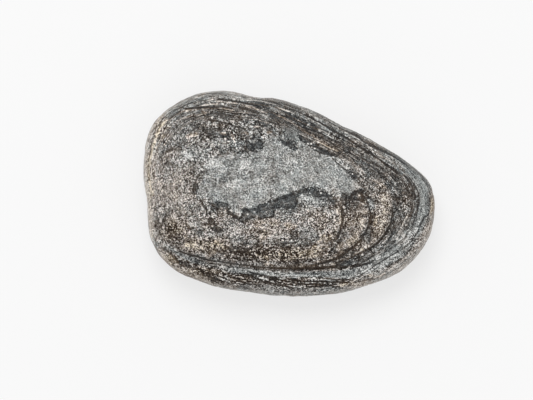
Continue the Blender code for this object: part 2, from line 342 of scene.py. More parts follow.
# Dark lines, painted shadow in the groove among them: path, width in points, strength.
DARK_LINES = [
    # round the hook, and down the growth lines below it
    ([(349, 198), (352, 194), (355, 192), (360, 191), (362, 196), (362, 200)], 3.0, 1.0),
    ([(350, 199), (356, 200), (362, 200)], 1.4, 1.0),
    ([(360, 190), (363, 195), (366, 200), (368, 205), (369, 210), (370, 213)], 1.6, 0.8),
    ([(370, 213), (371, 217), (370, 221), (369, 225)], 2.2, 0.95),
    ([(369, 225), (366, 232), (361, 239), (356, 245)], 2.0, 0.85),
    ([(356, 245), (349, 250), (342, 255), (335, 259), (326, 262)], 2.6, 1.0),
    ([(326, 262), (316, 265), (304, 268)], 2.4, 0.8),
    ([(361, 190), (364, 196)], 2, 0.6),
    ([(341, 207), (342, 215), (342, 222), (340, 230), (336, 238)], 2.4, 0.8),
    ([(336, 238), (331, 244), (325, 249), (319, 254)], 2.2, 0.65),
    ([(392, 207), (392, 214), (391, 221), (388, 229), (383, 236)], 2.0, 0.85),
    ([(383, 236), (377, 243), (372, 247), (365, 251)], 2.2, 0.85),
    ([(365, 251), (355, 256), (345, 260)], 2.4, 0.7),
    ([(429, 214), (424, 218), (421, 224), (418, 232), (414, 238), (409, 244)], 1.7, 0.75),
    ([(409, 244), (397, 252), (390, 256), (382, 261), (374, 266)], 1.6, 0.68),
    ([(408, 232), (404, 239), (394, 246), (383, 253)], 1.8, 0.64),
    ([(401, 259), (394, 263), (385, 267)], 1.6, 0.7),
    ([(372, 262), (363, 265), (352, 267)], 1.6, 0.85),
    ([(397, 205), (398, 215), (396, 224), (391, 232)], 1.6, 0.55),
    ([(403, 200), (404, 212), (402, 222), (397, 232)], 1.8, 0.5),
    ([(412, 198), (412, 212), (409, 224), (404, 232)], 1.6, 0.6),
    ([(416, 212), (414, 222), (410, 230)], 2.2, 0.6),
    # the right end's edge
    ([(416, 169), (422, 175), (428, 183), (431.5, 190)], 1.3, 0.8),
    ([(431, 190), (432, 199), (431, 208), (429, 214)], 1.4, 0.5),
    ([(411, 263), (400, 268), (390, 273), (380, 279), (370, 281)], 1.3, 0.7),
    ([(405, 176), (410, 183), (413, 190), (415, 198)], 2.0, 0.75),
    ([(409, 177), (414, 184), (418, 192), (419, 203), (417, 213)], 1.3, 0.8),
    ([(396, 175), (402, 180), (406, 186), (408, 192)], 1.8, 0.7),
    # the upper side, from the right end to the crown's left
    ([(376, 147), (384, 150), (392, 154), (399, 158), (405, 162)], 2.4, 0.85),
    ([(352, 132), (358, 136), (364, 141), (369, 144), (375, 147)], 2.2, 0.9),
    ([(340, 128), (346, 130), (352, 132)], 1.8, 0.7),
    ([(276, 98), (284, 101), (293, 104), (301, 107), (311, 111), (321, 115)], 1.8, 0.75),
    ([(321, 115), (331, 119), (340, 124)], 1.4, 0.7),
    ([(262, 99), (272, 101), (282, 105), (293, 110), (302, 113)], 1.5, 0.75),
    ([(306, 114), (313, 119), (322, 124), (331, 129), (340, 134)], 1.7, 0.85),
    ([(340, 134), (347, 138), (353, 142), (360, 147), (367, 151), (373, 155)], 1.8, 0.9),
    ([(373, 155), (379, 159), (385, 164), (391, 168), (397, 173)], 1.6, 0.9),
    ([(332, 159), (337, 164), (342, 168), (346, 171), (350, 175), (351, 178)], 1.3, 0.75),
    ([(270, 105), (277, 108), (284, 112)], 1.6, 0.7),
    ([(240, 107), (250, 110), (258, 113)], 2.6, 0.75),
    ([(218, 99), (230, 100), (240, 102), (252, 104)], 1.5, 0.85),
    ([(200, 95), (208, 93), (220, 93), (232, 94)], 1.2, 0.7),
    ([(186, 109), (195, 108), (202, 107), (212, 107), (222, 106), (232, 108)], 1.8, 0.8),
    ([(208, 120), (220, 122), (230, 125), (237, 127), (246, 130)], 1.5, 0.8),
    ([(212, 113), (222, 114), (232, 117)], 3.0, 0.7),
    ([(204, 113), (208, 117)], 4, 0.6),
    ([(173, 110), (181, 108), (185, 105), (195, 102)], 1.2, 0.7),
    ([(170, 119), (175, 115), (181, 111)], 1.4, 0.75),
    ([(183, 121), (192, 117), (198, 116)], 1.5, 0.65),
    ([(168, 114), (162, 120), (156, 129), (152, 140), (150, 152), (149, 165), (149, 180)], 0.8, 0.72),
    ([(148, 205), (146, 190), (145, 175), (146, 160), (149, 147)], 1.0, 0.4),
    ([(154, 205), (152, 190), (152, 175), (153, 163)], 0.9, 0.35),
    ([(166, 153), (170, 150), (176, 149)], 2.2, 0.7),
    # left of the patch
    ([(200, 176), (202, 181)], 2.4, 0.6),
    ([(203, 172), (208, 172)], 2.6, 0.6),
    ([(201, 200), (204, 206), (208, 211), (211, 215)], 2.2, 0.85),
    ([(213, 204), (218, 210), (221, 216)], 4.0, 0.55),
    ([(229, 212), (233, 215), (237, 218)], 3.0, 0.8),
    ([(184, 221), (188, 226), (191, 230)], 2.6, 0.7),
    # the lower left, down to the groove
    ([(183, 241), (190, 242)], 1.8, 0.7),
    # These two run along the groove: painted shadow in it.
    ([(180, 252), (188, 255), (195, 256), (203, 258), (209, 260)], 1.8, 0.85),
    ([(209, 260), (225, 263), (240, 265), (256, 267), (272, 268)], 1.6, 0.75),
    ([(160, 248), (168, 251), (172, 256), (178, 262), (185, 266)], 1.6, 0.65),
    ([(185, 264), (190, 267)], 3, 0.7),
    ([(193, 268), (200, 270), (206, 273), (212, 277)], 2.2, 0.65),
    # the groove, with its dark line painted shadow in it, and the laminae under it
    ([(272, 268), (288, 269), (304, 269), (320, 269), (336, 267)], 3.0, 0.95),
    ([(240, 273.5), (248, 275), (254, 278), (262, 281)], 1.6, 0.9),
    ([(232, 278), (240, 281), (250, 285)], 1.8, 0.75),
    ([(250, 272), (258, 274), (266, 276), (276, 278), (284, 281)], 1.3, 0.85),
    ([(262, 282), (274, 284), (285, 286), (292, 288)], 2.0, 0.8),
    ([(293, 283), (304, 284.5), (316, 285), (326, 286), (333, 286)], 1.5, 0.9),
    ([(290, 280), (300, 281), (314, 282), (330, 282.5), (350, 282.5)], 1.4, 0.85),
    ([(325, 278.5), (337, 279.5), (350, 279.5)], 1.5, 0.75),
    ([(352, 283), (366, 281), (376, 279)], 1.2, 0.7),
]
# Broad shade: path, width in points, strength.
SHADE_LINES = [
    ([(205, 111), (222, 113), (238, 118)], 12, 0.45),
    ([(240, 108), (262, 113), (285, 121), (305, 128), (325, 140)], 12, 0.5),
    ([(205, 132), (222, 134), (236, 132)], 10, 0.35),
    ([(330, 138), (352, 152), (372, 165), (390, 177), (404, 190)], 14, 0.3),
    ([(172, 142), (184, 148), (178, 152)], 8, 0.4),
    ([(163, 222), (170, 232), (180, 238)], 12, 0.5),
    # Partly painted shade: the band above the groove is darker where the dome turns away from the light.
    ([(228, 252), (250, 256), (275, 258), (300, 256)], 14, 0.5),
    ([(170, 258), (190, 268), (205, 274)], 6, 0.45),
    ([(208, 276), (220, 280), (214, 284)], 8, 0.5),
    ([(228, 275), (252, 281), (285, 284), (320, 284), (345, 282)], 8, 0.65),
    ([(390, 200), (396, 214), (388, 232)], 6, 0.3),
    ([(412, 190), (416, 199), (412, 216)], 7, 0.35),
    ([(345, 222), (343, 232), (337, 241)], 7, 0.3),
    ([(373, 222), (368, 234), (358, 246)], 7, 0.4),
    ([(242, 213), (247, 217)], 5, -0.6),
    ([(197, 171), (191, 182), (195, 192)], 9, 0.55),
    ([(212, 206), (219, 216)], 8, 0.5),
    ([(222, 182), (230, 172)], 5, 0.5),
    ([(210, 152), (235, 150), (256, 155)], 9, 0.35),
    ([(266, 158), (276, 170), (272, 182)], 7, 0.4),
    ([(300, 236), (310, 232)], 8, 0.3),
]
# Pale lines and spots, some of them painted highlights.
PALE_LINES_AND_HIGHLIGHTS = [
    # These two are painted highlights, where the light glints off the patch's left end.
    ([(208, 166), (216, 163), (224, 170)], 8, 0.45),
    ([(241, 168), (248, 163)], 6, 0.4),
    ([(232, 186), (246, 186), (262, 184)], 12, 0.3),
    ([(262, 190), (276, 186), (290, 182)], 8, 0.15),
    ([(296, 150), (300, 143), (297, 138)], 3, 0.35),
    ([(336, 214), (335, 224)], 5, 0.35),
    # A painted highlight on the patch's upper right.
    ([(330, 157), (338, 161), (347, 168)], 4, 0.6),
    ([(237, 211), (240, 215)], 3.5, 0.7),
    ([(302, 197), (308, 199), (316, 201)], 4, 0.4),
    ([(356, 196), (357, 198)], 2.2, 0.9),
    ([(265, 207), (266, 208)], 2.0, 0.8),
    ([(206, 203), (208, 207), (210, 211)], 2.6, 0.6),
    ([(185, 154), (190, 156)], 5, 0.8),
    ([(190, 231), (193, 232)], 2.6, 0.7),
    # the lamina over the groove at the lower left, and the shelf under it
    ([(163, 241), (172, 247)], 2.0, 0.5),
    ([(165, 245), (176, 250), (190, 256), (205, 261), (222, 266), (245, 271)], 3.6, 0.3),
    ([(250, 271), (268, 273), (283, 276)], 2.4, 0.5),
    ([(250, 270), (258, 272)], 1.6, 0.8),
    ([(268, 274), (275, 275.5), (280, 275.5)], 1.8, 0.95),
    ([(291, 270), (292, 275)], 2.2, 0.7),
    ([(283, 278.5), (292, 278.5), (300, 277.5)], 1.6, 0.9),
    # A painted highlight along the shelf.
    ([(281, 275.5), (290, 275), (300, 275), (318, 276)], 1.2, 0.85),
    ([(262, 277.5), (268, 279)], 1.6, 0.7),
    # the right end
    ([(410, 232), (407, 238), (404, 241)], 3.0, 0.75),
    ([(399, 232), (396, 239)], 2.6, 0.6),
    ([(398, 254), (391, 257)], 2.0, 0.6),
    ([(384, 252), (377, 258)], 2.4, 0.5),
    ([(360, 242), (355, 246)], 1.4, 0.6),
    ([(370, 255), (371, 257)], 2.4, 0.7),
    ([(411, 200), (411, 212)], 1.2, 0.6),
    ([(403, 204), (404, 208)], 3.0, 0.6),
    ([(402, 180), (406, 182)], 3.0, 0.5),
    ([(372, 156), (380, 161), (388, 166), (395, 172), (401, 178)], 1.3, 0.6),
    ([(390, 156), (393, 158)], 1.8, 0.6),
    # the upper side
    ([(304, 109), (314, 114), (326, 120), (338, 127), (350, 135), (362, 142)], 4, 0.25),
    ([(313, 120), (318, 123), (324, 127), (331, 131)], 1.2, 0.7),
    ([(272, 104), (282, 108), (294, 112)], 3.0, 0.3),
    ([(264, 116), (266, 118)], 2.4, 0.8),
    ([(315, 118), (317, 120)], 2.0, 0.7),
    ([(200, 104), (206, 105)], 1.8, 0.6),
    ([(210, 103), (211, 104)], 2.0, 0.6),
    ([(217, 104), (218, 106)], 1.6, 0.6),
    ([(223, 104), (227, 106)], 2.0, 0.6),
    ([(234, 122), (235, 124)], 2.0, 0.6),
    ([(243, 121), (245, 122)], 2.0, 0.6),
    ([(250, 127), (253, 126)], 2.2, 0.6),
    ([(277, 134), (278, 138)], 2.6, 0.7),
    ([(283, 135), (283, 139)], 2.2, 0.7),
]
# Cream, tan and rusty lines and spots.
TAN_LINES = [
    ([(146, 152), (144, 175), (147, 205), (150, 235)], 7, 0.55),
    ([(151, 195), (149, 180), (149, 165), (152, 150), (156, 138), (160, 128), (166, 120)], 2.6, 0.9),
    ([(157, 148), (160, 142), (164, 135)], 2.0, 0.6),
    ([(160, 250), (178, 266), (205, 280), (235, 288)], 6, 0.4),
    ([(216, 101), (228, 102), (240, 104), (252, 107), (262, 112), (272, 113), (283, 118)], 1.3, 0.65),
    ([(166, 122), (174, 116), (184, 111), (196, 109.5), (210, 108.5), (224, 108), (234, 110)], 1.3, 0.7),
    ([(168, 128), (178, 121), (190, 116), (202, 114)], 1.1, 0.55),
    ([(283, 118), (293, 124), (299, 128), (305, 132), (313, 136)], 1.8, 0.6),
    ([(313, 136), (318, 141), (323, 143), (329, 147), (336, 151)], 2.6, 0.75),
    ([(342, 156), (350, 161), (356, 167), (362, 173)], 5, 0.4),
    ([(344, 155), (346, 157)], 2.4, 0.6),
    ([(187, 137), (192, 135), (198, 135)], 3.6, 0.65),
    ([(203, 111), (206, 113)], 3.0, 0.6),
    ([(222, 134), (226, 135)], 2.8, 0.8),
    ([(232, 135), (234, 139)], 3.2, 0.7),
    ([(245, 133), (248, 134)], 2.4, 0.7),
    ([(268, 133), (271, 132)], 3.4, 0.85),
    ([(255, 127), (258, 127)], 2.4, 0.8),
    ([(371, 179), (378, 183), (384, 188)], 3.0, 0.45),
    ([(384, 200), (386, 207), (385, 214), (381, 224), (374, 235)], 6, 0.4),
    ([(384, 202), (388, 206)], 4, 0.6),
    ([(376, 218), (374, 227)], 3.0, 0.6),
    ([(433, 199), (434, 206), (432, 213)], 2.4, 0.7),
    ([(431, 222), (424, 238), (413, 253), (400, 262)], 3, 0.35),
    ([(370, 276), (378, 278), (385, 274)], 3.0, 0.7),
    ([(341, 285), (346, 284)], 3.4, 0.7),
    ([(352, 285), (366, 281), (376, 277)], 3.0, 0.4),
    ([(338, 212), (340, 217), (339, 223)], 3.0, 0.85),
    ([(336, 225), (332, 235), (324, 243), (316, 250)], 5, 0.45),
    ([(313, 247), (318, 242), (323, 236)], 3.2, 0.7),
    ([(299, 254), (310, 252), (320, 256)], 7, 0.3),
    ([(360, 226), (356, 235), (348, 243), (338, 249)], 6, 0.4),
    ([(340, 247), (346, 246)], 3.0, 0.6),
    ([(400, 232), (405, 238), (398, 243)], 5, 0.3),
    ([(216, 242), (219, 244)], 3.6, 0.9),
    ([(222, 245), (226, 249)], 3.6, 0.7),
    ([(214, 252), (208, 256)], 5, 0.5),
    ([(186, 245), (193, 245)], 3.4, 0.9),
    ([(184, 236), (188, 239)], 2.6, 0.6),
    ([(265, 257), (268, 260)], 3.0, 0.95),
    ([(266, 264), (272, 265)], 2.6, 0.8),
    ([(264, 232), (263, 238), (261, 244)], 3.4, 0.45),
    ([(258, 222), (268, 220), (278, 223)], 6, 0.4),
    ([(286, 224), (294, 227)], 4, 0.6),
    ([(196, 271), (201, 275), (206, 279)], 3.4, 0.55),
    ([(164, 254), (168, 258), (172, 263)], 4, 0.5),
]
# Broad tones: place, reach across and down, change of lightness, warmth.
BROAD_TONES = [
    (178, 192, 24, 32, 0.08, 0.7), (215, 222, 20, 14, 0.03, 0.6), (265, 230, 50, 12, 0.05, 0.75),
    # The second of these darkens the band above the groove: partly its brown stone, partly painted shade
    # where the dome turns away from the light.
    (205, 245, 30, 9, 0.01, 1.4), (280, 254, 60, 9, -0.14, 1.2), (230, 154, 26, 8, 0.06, 0.1),
    (205, 150, 18, 9, 0.03, 0.4), (320, 222, 24, 18, 0.01, 0.7), (352, 222, 16, 24, -0.04, 0.7),
    (377, 212, 16, 28, 0.0, 0.8), (402, 205, 10, 26, -0.02, 0.5), (170, 152, 14, 18, 0.04, 0.4),
    (170, 120, 14, 10, 0.04, 0.1), (152, 178, 7, 46, 0.2, 0.9), (161, 190, 8, 30, -0.03, 0.9),
    (352, 145, 40, 10, -0.06, 0.35), (385, 170, 22, 12, -0.02, 0.2), (265, 128, 30, 10, -0.05, 0.15),
    (215, 122, 30, 12, -0.01, 0.4), (174, 229, 17, 14, -0.07, 1.5), (205, 272, 30, 9, -0.13, 1.0),
    (170, 260, 12, 8, -0.03, 1.0), (290, 283, 60, 8, -0.09, 0.5), (236, 279, 20, 5, -0.1, 0.9),
    (388, 259, 26, 10, 0.03, 0.3), (300, 268, 60, 5, 0.06, 0.8), (230, 110, 50, 14, 0.03, 0.2),
    (228, 97, 36, 5, 0.06, 0.2), (325, 273, 45, 4, -0.05, 0.0), (355, 243, 12, 8, 0.07, 1.0),
    (428, 230, 8, 14, 0.09, 0.5), (412, 243, 11, 14, 0.05, 0.6), (392, 268, 16, 6, 0.1, 0.5),
    (352, 284, 26, 5, 0.12, 0.8), (362, 271, 14, 4, 0.1, 0.0), (228, 266, 16, 4, 0.13, 0.0),
    (347, 222, 6, 16, 0.06, 0.8), (397, 217, 6, 14, 0.02, 0.5), (434, 203, 6, 14, -0.06, 0.8),
    (375, 222, 5, 14, 0.0, 0.8), (315, 201, 12, 5, -0.05, 0.0), (190, 272, 10, 6, 0.07, 0.9),
    (327, 235, 8, 8, -0.08, 0.8), (334, 221, 6, 8, 0.04, 0.95), (315, 250, 9, 6, 0.11, 0.9),
    (382, 216, 8, 16, -0.02, 0.8), (199, 140, 20, 9, -0.09, 0.3), (370, 275, 11, 5, 0.06, 0.4),
    (160, 129, 7, 15, -0.04, 0.95), (237, 131, 8, 8, 0.04, 0.3), (156, 227, 5, 9, 0.08, 0.6),
    (340, 246, 6, 5, 0.1, 0.8),
]
# Where the grains are finer and more even: place, reach across and down, how much.
CALM_AREAS = [
    (178, 190, 26, 34, 1.0), (235, 222, 48, 11, 1.0), (290, 222, 40, 14, 1.0), (385, 168, 26, 14, 0.9),
    (352, 218, 14, 20, 0.7), (385, 205, 20, 26, 0.6),
]

# ---------------------------------------------------------------- colours, as seen in even light

COOL = [(0.10, (24, 24, 25)), (0.27, (66, 68, 69)), (0.44, (110, 114, 114)), (0.58, (145, 149, 148)),
        (0.73, (184, 188, 186)), (0.92, (235, 237, 236))]
WARM = [(0.10, (33, 23, 15)), (0.26, (75, 63, 52)), (0.40, (110, 99, 89)), (0.54, (143, 134, 125)),
        (0.70, (182, 174, 167)), (0.92, (238, 231, 224))]
TAN = [(0.10, (34, 24, 14)), (0.30, (88, 72, 54)), (0.50, (140, 123, 101)), (0.66, (178, 163, 140)),
       (0.80, (214, 201, 179)), (0.92, (240, 231, 214))]
# Mean place on those ramps of the bare stone, the film, the rim, the patch, the crust and dark lines,
# which also carry the painted shadow in the groove.
BODY_LEVEL = 0.4
FILM_LEVEL = 0.5
RIM_LEVEL = 0.6
PATCH_LEVEL = 0.548
CRUST_LEVEL = 0.18
INK_LEVEL = 0.19


# ---------------------------------------------------------------- form

def closed_radius(points, angles):
    """Radius at each angle of the smooth closed curve through the points, seen from the origin."""
    x, y = np.array(points, float).T
    at = np.arctan2(y, x)
    order = np.argsort(at)
    knots = at[order]
    radii = np.hypot(x, y)[order]
    turn = 2 * math.pi
    knots = np.concatenate([knots[-2:] - turn, knots, knots[:3] + turn])
    radii = np.concatenate([radii[-2:], radii, radii[:3]])
    slopes = (radii[2:] - radii[:-2]) / (knots[2:] - knots[:-2])
    slopes = np.concatenate([slopes[:1], slopes, slopes[-1:]])
    wrapped = (angles - knots[2]) % turn + knots[2]
    i = np.searchsorted(knots, wrapped, side="right") - 1
    span = knots[i + 1] - knots[i]
    s = (wrapped - knots[i]) / span
    return (
        radii[i] * (1 + 2 * s) * (1 - s) ** 2
        + radii[i + 1] * s**2 * (3 - 2 * s)
        + span * slopes[i] * s * (1 - s) ** 2
        - span * slopes[i + 1] * s**2 * (1 - s)
    )


def line_radii(angles):
    """Radii of the lines at the angles, from the outline in to the crown, each inside the last."""
    radii = [closed_radius(OUTLINE, angles)]
    for points in GROWTH_LINES.values():
        radii.append(np.minimum(closed_radius(points, angles), radii[-1] - LEAST_LINE_GAP))
    return [*radii, np.zeros_like(angles)]


def growth_radius(angles, growth):
    """Radius at each angle of the line with this growth, and mm of radius for each mm of growth."""
    radii = line_radii(angles)
    for outer, inner, high, low in zip(radii, radii[1:], LINE_GROWTH, LINE_GROWTH[1:]):
        if low <= growth <= high:
            radius = inner + (outer - inner) * ((growth - low) / (high - low))
            rate = (outer - inner) / (high - low)
    return radius, rate


def soft_limit(height, limit, softness):
    return height - softness * np.logaddexp(0, (height - limit) / softness)


def bell(value, middle, width):
    """1 at the middle, falling to 0 well beyond the width."""
    return np.exp(-(((value - middle) / width) ** 2))


def ring_points(radius, angles, height):
    x = radius * np.cos(angles)
    y = radius * np.sin(angles)
    return np.stack([x, y, np.broadcast_to(height, x.shape)], axis=1)


def widest_line(angles, share):
    """Height of the widest line, whose rise and fall fade out inwards from it."""
    change = WIDEST_LINE_RISE * np.sin(angles) + WIDEST_LINE_SWING * np.cos(2 * angles)
    return WIDEST_LINE_HEIGHT + change * share**2


def upper_surface(angles, radius):
    radii = line_radii(angles)
    share = np.clip(radius / radii[0], 0, 1)
    rim = RIM_HEIGHT * np.sqrt(1 - share**RIM_BLUNTNESS)
    within = np.clip(radius / radii[GROOVE_LINE], 0, 1)
    dome = DOME_HEIGHT * (1 - within**DOME_FULLNESS) ** DOME_FOOT
    x, y, _ = ring_points(radius, angles, 0).T
    height = soft_limit(rim + dome - BEAK_TILT * x * (1 - share**2), WORN_TOP, WORN_SOFTNESS)
    for swell_x, swell_y, swell, width in SWELLS:
        height += swell * bell(x, swell_x, width) * bell(y, swell_y, width) * (1 - share**4)
    return ring_points(radius, angles, widest_line(angles, share) + height)


def lower_surface(angles, lean):
    share = REST_FACE_SHARE + (1 - REST_FACE_SHARE) * np.sin(lean)
    height = widest_line(angles, 1) * (1 - np.cos(lean))
    return ring_points(closed_radius(OUTLINE, angles) * share, angles, height)


def outward(surface, angles, along):
    round_it = surface(angles + SLOPE_STEP, along) - surface(angles - SLOPE_STEP, along)
    across = surface(angles, along + SLOPE_STEP) - surface(angles, along - SLOPE_STEP)
    normals = np.cross(across, round_it)
    return normals / np.maximum(np.linalg.norm(normals, axis=1, keepdims=True), TINY)


# ---------------------------------------------------------------- noise

CORNER_COUNT = 4096
CORNERS = np.random.default_rng(7).random(CORNER_COUNT) * 2 - 1
HASH_PRIMES = (73856093, 19349663, 83492791)
LAMINA_PRIME = 7919
SEED_SHIFT = 19.37


def noise(points, size, seed):
    """Smooth noise from about -1 to 1 with features of the size, in the points' unit."""
    q = points / size + seed * SEED_SHIFT
    cell = np.floor(q).astype(np.int64)
    f = q - cell
    f = f * f * f * (f * (f * 6 - 15) + 10)
    total = np.zeros(len(q))
    for corner in range(8):
        step = np.array([corner & 1, corner >> 1 & 1, corner >> 2 & 1])
        mixed = np.bitwise_xor.reduce((cell + step) * HASH_PRIMES, axis=1)
        mixed ^= mixed >> 13
        weight = np.prod(np.where(step == 1, f, 1 - f), axis=1)
        total += weight * CORNERS[mixed % CORNER_COUNT]
    return total


def layers(points, parts):
    """The sum of layers of noise, each with its strength, size and seed."""
    return sum(strength * noise(points, size, seed) for strength, size, seed in parts)


def patchy(points, mean, swing, size, seed):
    return mean + swing * noise(points, size, seed)


def smooth_step(low, high, value):
    t = np.clip((value - low) / (high - low), 0, 1)
    return t * t * (3 - 2 * t)


def window(value, start, full, fall, end):
    """1 from full to fall, 0 before start and after end."""
    return smooth_step(start, full, value) * smooth_step(end, fall, value)


# ---------------------------------------------------------------- marks

def from_photo(points):
    """Places in mm, from the photograph's points."""
    across, down = PHOTO_ORIGIN
    return [((x - across) * PHOTO_SCALE, (down - y) * PHOTO_SCALE) for x, y in points]


def distance_to(path, x, y):
    """Distance of each point from a path of straight runs."""
    best = np.full(len(x), np.inf)
    for (x0, y0), (x1, y1) in zip(path, path[1:]):
        dx, dy = x1 - x0, y1 - y0
        t = np.clip(((x - x0) * dx + (y - y0) * dy) / (dx * dx + dy * dy), 0, 1)
        best = np.minimum(best, np.hypot(x - x0 - t * dx, y - y0 - t * dy))
    return best


def depth_in(outline, x, y):
    """How far each point is inside the closed outline, in mm, below 0 outside it."""
    closed = outline + outline[:1]
    inside = np.zeros(len(x), bool)
    for (x0, y0), (x1, y1) in zip(closed, closed[1:]):
        if y0 != y1:
            inside ^= ((y0 > y) != (y1 > y)) & (x < x0 + (y - y0) * (x1 - x0) / (y1 - y0))
    return np.where(inside, 1, -1) * distance_to(closed, x, y)


def area_depths(marks, x, y, ragged):
    """(depth, strength) of each area, its edge moved out by the ragged noise in mm."""
    for outline, strength in marks:
        yield depth_in(from_photo(outline), x, y) + ragged + AREA_GROWTH, strength


def line_depths(marks, x, y, ragged):
    """(depth, strength) of each line, its edge moved out by ragged noise, less where it is thin."""
    share, most = LINE_RAGGED
    for path, width, strength in marks:
        width = width * PHOTO_SCALE
        depth = width / 2 - distance_to(from_photo(path), x, y)
        yield depth + ragged * min(most, share * width), strength


def deepest(depths):
    """The depth and strength of the mark that each point is deepest in."""
    best, best_strength = OUTSIDE, 0.0
    for depth, strength in depths:
        deeper = depth > best
        best = np.where(deeper, depth, best)
        best_strength = np.where(deeper, strength, best_strength)
    return best, best_strength


def strongest(depths, soft):
    """The strongest mark at each point, fading out over twice this many mm at its edge."""
    total = 0.0
    for depth, strength in depths:
        reach = strength * smooth_step(-soft, soft, depth)
        total = np.where(np.abs(reach) > np.abs(total), reach, total)
    return total


def nearness(x, y, across, down, reach_across, reach_down):
    """1 at a place of the photograph, falling to 0 well beyond these reaches."""
    ((middle_x, middle_y),) = from_photo([(across, down)])
    return bell(x, middle_x, reach_across * PHOTO_SCALE) * bell(y, middle_y, reach_down * PHOTO_SCALE)


# ---------------------------------------------------------------- the mesh

def ring_angles(part):
    """Angles round a ring with one point for each so many of the finest ring's."""
    count = ROUND_STEPS // part
    return np.arange(count) * (2 * math.pi / count)


def lower_growth(lean):
    return EDGE + LOWER_ARC * (1 - lean / (math.pi / 2))


def make_rings():
    """Rings of points from the middle of the rest face, out to the widest line and in to the crown.

    Each is (points, normals, growth, angles, mm of radius for each mm of growth).
    """
    rings = []

    def add(points, normals, growth, angles, rate=1.0):
        alike = np.ones_like(angles)
        rings.append((points, normals * alike[:, None], growth * alike, angles, rate * alike))

    for n in range(1, REST_RINGS + 1):
        share = REST_FACE_SHARE * n / (REST_RINGS + 1)
        angles = ring_angles(8 if n <= REST_RINGS // 2 else 4)
        points = ring_points(closed_radius(OUTLINE, angles) * share, angles, 0)
        add(points, DOWN, EDGE + LOWER_ARC + (REST_FACE_SHARE - share) * REST_GROWTH, angles)
    angles = ring_angles(2)
    for lean in np.linspace(0, math.pi / 2, round(LOWER_ARC / LOWER_STEP) + 1)[:-1]:
        along = np.full_like(angles, lean)
        normals = -outward(lower_surface, angles, along) if lean else DOWN
        add(lower_surface(angles, along), normals, lower_growth(lean), angles)
    for growth in np.arange(EDGE, LAST_GROWTH, -UPPER_STEP):
        angles = ring_angles(next(part for beyond, part in RING_PARTS if growth > beyond))
        radius, rate = growth_radius(angles, growth)
        sideways = growth == EDGE
        normals = ring_points(1, angles, 0) if sideways else outward(upper_surface, angles, radius)
        add(upper_surface(angles, radius), normals, growth, angles, rate)
    return rings


def join(low, high):
    """Triangles between two rings, one of which may have more points than the other."""
    few, many = sorted((high, low), key=len)
    step = len(many) // len(few)
    half = (step + 1) // 2
    faces = []
    for i, this in enumerate(few):
        following = few[(i + 1) % len(few)]
        ends = [many[(i * step + m) % len(many)] for m in range(step + 1)]
        faces += [(this, ends[m], ends[m + 1]) for m in range(half)]
        faces.append((this, ends[half], following))
        faces += [(following, ends[m], ends[m + 1]) for m in range(half, step)]
    return faces


def gather(rings):
    """Each point's place, normal and position among the growth lines."""
    points, normals, growth, angles, rates = (np.concatenate(column) for column in zip(*rings))
    rate = np.clip(rates * RATE_GAIN, LEAST_RATE, 1)
    shoulder = upper_surface(angles, line_radii(angles)[1])[:, 2]
    return {
        "points": points,
        "normals": normals,
        "growth": growth,
        "along": growth + layers(points, WANDER) * rate,
        "fall": np.clip(shoulder - np.maximum(points[:, 2], widest_line(angles, 1)), 0, None),
        "side": (np.degrees(angles) + 180) % 360 - 180,
        "rate": rate,
        "on_top": growth <= EDGE,
    }


def marks_at(at):
    """How strongly each kind of mark shows at each point."""
    points, growth, along, side = at["points"], at["growth"], at["along"], at["side"]
    x, y = points[:, 0], points[:, 1]
    ragged = layers(points, RAGGED_EDGE)
    # The steep rim has no marks of its own: they would run down it.
    top = at["on_top"] * smooth_step(*MARKED_GROWTH, growth)
    found = {
        "crust": deepest(area_depths(DARK_AREAS, x, y, CRUST_RAGGED * ragged)),
        "ink": deepest(line_depths(DARK_LINES, x, y, INK_RAGGED * ragged)),
        "pale": deepest(line_depths(PALE_LINES_AND_HIGHLIGHTS, x, y, PALE_AND_HIGHLIGHT_RAGGED * ragged)),
        "tan": deepest(line_depths(TAN_LINES, x, y, TAN_RAGGED * ragged)),
    }
    marks = {name: depth for name, (depth, _) in found.items()}
    marks.update({name + "_strength": strength * top for name, (_, strength) in found.items()})
    patch = depth_in(from_photo(PATCH), x, y) + PATCH_RAGGED * ragged
    marks["patch"] = np.where(at["on_top"], patch, OUTSIDE)
    # Each of the three growth arcs is creamy inside its line and dull outside it: partly the stone's own
    # cream and brown, partly painted light on the ledge's lip and painted shade at its foot.
    shade = strongest(line_depths(SHADE_LINES, x, y, SHADE_RAGGED * ragged), SHADE_SOFT)
    cream = np.zeros(len(points))
    low_end = window(side, *ARC_SIDE)
    for line in ARC_GROWTHS:
        cream = np.maximum(cream, low_end * bell(along - line, *ARC_CREAM_AND_LIGHT))
        shade = np.maximum(shade, ARC_SHADE_SHARE * low_end * bell(along - line, *ARC_SHADE))
    # Along the upper side the rim is rougher, and its last lamina is dark.
    rough_rim = window(side, *ROUGH_RIM_SIDE)
    shade = np.maximum(shade, LAST_LAMINA_SHADE * rough_rim * bell(growth, *LAST_LAMINA))
    rim = window(growth, *RIM_GROWTH) * (RIM_SHARE - LOW_RIM_LOSS * window(side, *LOW_RIM_SIDE))
    # The film covers the shelf under the groove, and lies thinly elsewhere.
    near, far = SHELF_GROWTH
    far = far + SHELF_WIDENING * smooth_step(*SHELF_WIDENING_SIDE, side)
    fades = SHELF_FADES
    shelf = window(along, near - fades[0], near + fades[1], far - fades[2], far + fades[3])
    shelf *= window(side, *SHELF_SIDE) * patchy(points, *SHELF_PATCHINESS)
    film = strongest(area_depths(FILM_AREAS, x, y, FILM_RAGGED * ragged), FILM_SOFT)
    marks["film"] = np.clip(np.maximum(film, SHELF_FILM * shelf), 0, 1) * top
    marks["cream"] = cream * top
    marks["shade"] = shade * top
    marks["rim"] = rim * (1 - ROUGH_RIM_LOSS * rough_rim)
    return marks


def sawtooth(distance, height, reach):
    """A low lip before the ledge (distance below 0) and a drop after it."""
    return np.where(distance < 0, LIP_SHARE, LIP_SHARE - 1) * height * np.exp(-np.abs(distance) / reach)


